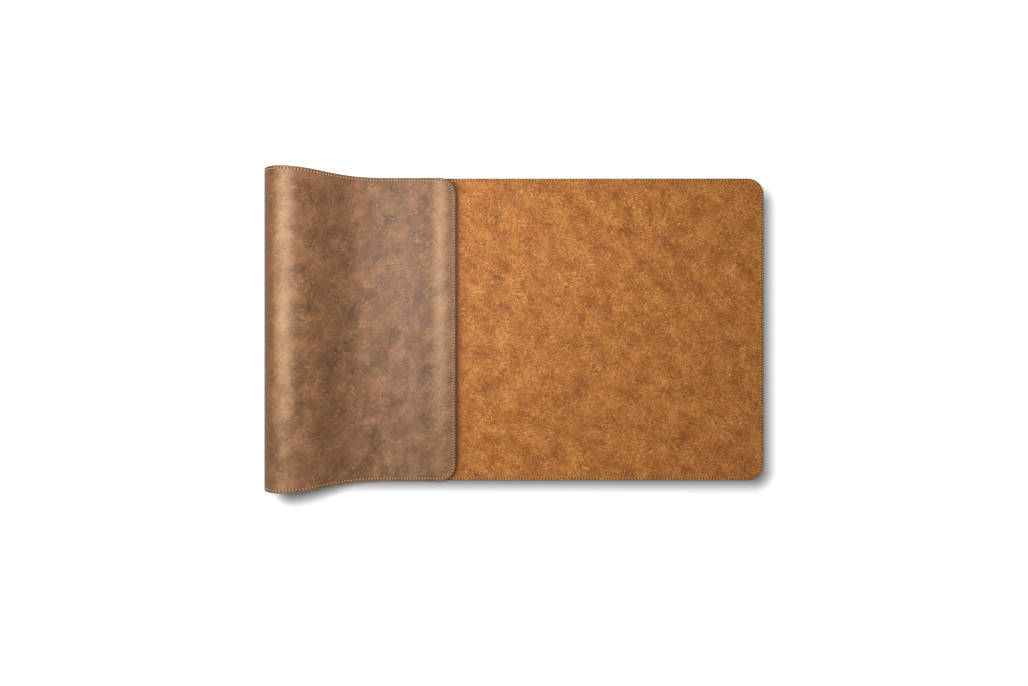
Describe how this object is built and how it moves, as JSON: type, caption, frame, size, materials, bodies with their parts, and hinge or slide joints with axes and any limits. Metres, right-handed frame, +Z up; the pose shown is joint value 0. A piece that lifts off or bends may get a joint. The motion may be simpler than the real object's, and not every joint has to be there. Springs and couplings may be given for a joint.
{
  "type": "desk pad",
  "caption": "Long double-sided leather desk pad, stitched all round, with its left end turned over onto the writing side; it unrolls to lie flat.",
  "frame": {"origin": "on the table, under the middle of the pad's box as it stands with its left end turned over", "axes": "+X along the pad to its flat right end, +Y to its far edge, +Z up from the table"},
  "size_m": [0.8048, 0.5, 0.0789],
  "materials": {
    "face_leather": "cognac pull-up leather, pebbled and mottled, satin",
    "back_leather": "dark brown waxed leather, marbled, soft sheen",
    "seam_thread": "tan waxed polyester thread"
  },
  "bodies": {
    "base": {"back_leather_main": "back_leather", "bobbin_thread_main": "seam_thread", "face_leather_main": "face_leather", "needle_thread_main": "seam_thread"},
    "bend_01": {"back_leather_bend_01": "back_leather", "face_leather_bend_01": "face_leather", "seam_thread_bend_01": "seam_thread"},
    "bend_02": {"back_leather_bend_02": "back_leather", "face_leather_bend_02": "face_leather", "seam_thread_bend_02": "seam_thread"},
    "bend_03": {"back_leather_bend_03": "back_leather", "face_leather_bend_03": "face_leather", "seam_thread_bend_03": "seam_thread"},
    "bend_04": {"back_leather_bend_04": "back_leather", "face_leather_bend_04": "face_leather", "seam_thread_bend_04": "seam_thread"},
    "bend_05": {"back_leather_bend_05": "back_leather", "face_leather_bend_05": "face_leather", "seam_thread_bend_05": "seam_thread"},
    "bend_06": {"back_leather_bend_06": "back_leather", "face_leather_bend_06": "face_leather", "seam_thread_bend_06": "seam_thread"},
    "bend_07": {"back_leather_bend_07": "back_leather", "face_leather_bend_07": "face_leather", "seam_thread_bend_07": "seam_thread"},
    "bend_08": {"back_leather_bend_08": "back_leather", "face_leather_bend_08": "face_leather", "seam_thread_bend_08": "seam_thread"},
    "bend_09": {"back_leather_bend_09": "back_leather", "face_leather_bend_09": "face_leather", "seam_thread_bend_09": "seam_thread"},
    "bend_10": {"back_leather_bend_10": "back_leather", "face_leather_bend_10": "face_leather", "seam_thread_bend_10": "seam_thread"},
    "bend_11": {"back_leather_bend_11": "back_leather", "face_leather_bend_11": "face_leather", "seam_thread_bend_11": "seam_thread"},
    "bend_12": {"back_leather_bend_12": "back_leather", "face_leather_bend_12": "face_leather", "seam_thread_bend_12": "seam_thread"},
    "bend_13": {"back_leather_bend_13": "back_leather", "face_leather_bend_13": "face_leather", "seam_thread_bend_13": "seam_thread"},
    "bend_14": {"back_leather_bend_14": "back_leather", "face_leather_bend_14": "face_leather", "seam_thread_bend_14": "seam_thread"},
    "bend_15": {"back_leather_bend_15": "back_leather", "face_leather_bend_15": "face_leather", "seam_thread_bend_15": "seam_thread"},
    "bend_16": {"back_leather_bend_16": "back_leather", "face_leather_bend_16": "face_leather", "seam_thread_bend_16": "seam_thread"},
    "bend_17": {"back_leather_bend_17": "back_leather", "face_leather_bend_17": "face_leather", "seam_thread_bend_17": "seam_thread"},
    "flap": {"back_leather_flap": "back_leather", "bobbin_thread_flap": "seam_thread", "face_leather_flap": "face_leather", "needle_thread_flap": "seam_thread"}
  },
  "joints": [
    {"name": "unroll", "type": "hinge", "parent": "base", "child": "bend_01", "pos_m": [-0.34279, 0, 0], "axis": [0, -1, 0], "range_deg": [0, 7.6]},
    {"name": "unroll_bend_02", "type": "hinge", "parent": "bend_01", "child": "bend_02", "pos_m": [-0.366, 0, 0.0031], "axis": [0, -1, 0], "range_deg": [0, 15.2]},
    {"name": "unroll_bend_03", "type": "hinge", "parent": "bend_02", "child": "bend_03", "pos_m": [-0.38183, 0, 0.00975], "axis": [0, -1, 0], "range_deg": [0, 15.2]},
    {"name": "unroll_bend_04", "type": "hinge", "parent": "bend_03", "child": "bend_04", "pos_m": [-0.39155, 0, 0.01735], "axis": [0, -1, 0], "range_deg": [0, 15.2]},
    {"name": "unroll_bend_05", "type": "hinge", "parent": "bend_04", "child": "bend_05", "pos_m": [-0.39802, 0, 0.02599], "axis": [0, -1, 0], "range_deg": [0, 15.2]},
    {"name": "unroll_bend_06", "type": "hinge", "parent": "bend_05", "child": "bend_06", "pos_m": [-0.40168, 0, 0.03525], "axis": [0, -1, 0], "range_deg": [0, 15.2]},
    {"name": "unroll_bend_07", "type": "hinge", "parent": "bend_06", "child": "bend_07", "pos_m": [-0.40274, 0, 0.04466], "axis": [0, -1, 0], "range_deg": [0, 15.2]},
    {"name": "unroll_bend_08", "type": "hinge", "parent": "bend_07", "child": "bend_08", "pos_m": [-0.40133, 0, 0.05377], "axis": [0, -1, 0], "range_deg": [0, 15.2]},
    {"name": "unroll_bend_09", "type": "hinge", "parent": "bend_08", "child": "bend_09", "pos_m": [-0.39761, 0, 0.06212], "axis": [0, -1, 0], "range_deg": [0, 15.2]},
    {"name": "unroll_bend_10", "type": "hinge", "parent": "bend_09", "child": "bend_10", "pos_m": [-0.39179, 0, 0.06926], "axis": [0, -1, 0], "range_deg": [0, 15.2]},
    {"name": "unroll_bend_11", "type": "hinge", "parent": "bend_10", "child": "bend_11", "pos_m": [-0.38409, 0, 0.07478], "axis": [0, -1, 0], "range_deg": [0, 15.2]},
    {"name": "unroll_bend_12", "type": "hinge", "parent": "bend_11", "child": "bend_12", "pos_m": [-0.37475, 0, 0.07825], "axis": [0, -1, 0], "range_deg": [0, 15.2]},
    {"name": "unroll_bend_13", "type": "hinge", "parent": "bend_12", "child": "bend_13", "pos_m": [-0.364, 0, 0.07922], "axis": [0, -1, 0], "range_deg": [0, 15.2]},
    {"name": "unroll_bend_14", "type": "hinge", "parent": "bend_13", "child": "bend_14", "pos_m": [-0.35185, 0, 0.07708], "axis": [0, -1, 0], "range_deg": [0, 15.2]},
    {"name": "unroll_bend_15", "type": "hinge", "parent": "bend_14", "child": "bend_15", "pos_m": [-0.33631, 0, 0.06977], "axis": [0, -1, 0], "range_deg": [0, 14.98]},
    {"name": "unroll_bend_16", "type": "hinge", "parent": "bend_15", "child": "bend_16", "pos_m": [-0.28252, 0, 0.01898], "axis": [0, -1, 0], "range_deg": [-16.18, 0]},
    {"name": "unroll_bend_17", "type": "hinge", "parent": "bend_16", "child": "bend_17", "pos_m": [-0.26099, 0, 0.00939], "axis": [0, -1, 0], "range_deg": [-16, 0]},
    {"name": "unroll_flap", "type": "hinge", "parent": "bend_17", "child": "flap", "pos_m": [-0.21905, 0, 0.0035], "axis": [0, -1, 0], "range_deg": [-8, 0]}
  ],
  "couplings": [
    {"joint": "unroll_bend_02", "follows": "unroll", "ratio": 2},
    {"joint": "unroll_bend_03", "follows": "unroll", "ratio": 2},
    {"joint": "unroll_bend_04", "follows": "unroll", "ratio": 2},
    {"joint": "unroll_bend_05", "follows": "unroll", "ratio": 2},
    {"joint": "unroll_bend_06", "follows": "unroll", "ratio": 2},
    {"joint": "unroll_bend_07", "follows": "unroll", "ratio": 2},
    {"joint": "unroll_bend_08", "follows": "unroll", "ratio": 2},
    {"joint": "unroll_bend_09", "follows": "unroll", "ratio": 2},
    {"joint": "unroll_bend_10", "follows": "unroll", "ratio": 2},
    {"joint": "unroll_bend_11", "follows": "unroll", "ratio": 2},
    {"joint": "unroll_bend_12", "follows": "unroll", "ratio": 2},
    {"joint": "unroll_bend_13", "follows": "unroll", "ratio": 2},
    {"joint": "unroll_bend_14", "follows": "unroll", "ratio": 2},
    {"joint": "unroll_bend_15", "follows": "unroll", "ratio": 1.9711},
    {"joint": "unroll_bend_16", "follows": "unroll", "ratio": -2.129},
    {"joint": "unroll_bend_17", "follows": "unroll", "ratio": -2.1053},
    {"joint": "unroll_flap", "follows": "unroll", "ratio": -1.0526}
  ]
}
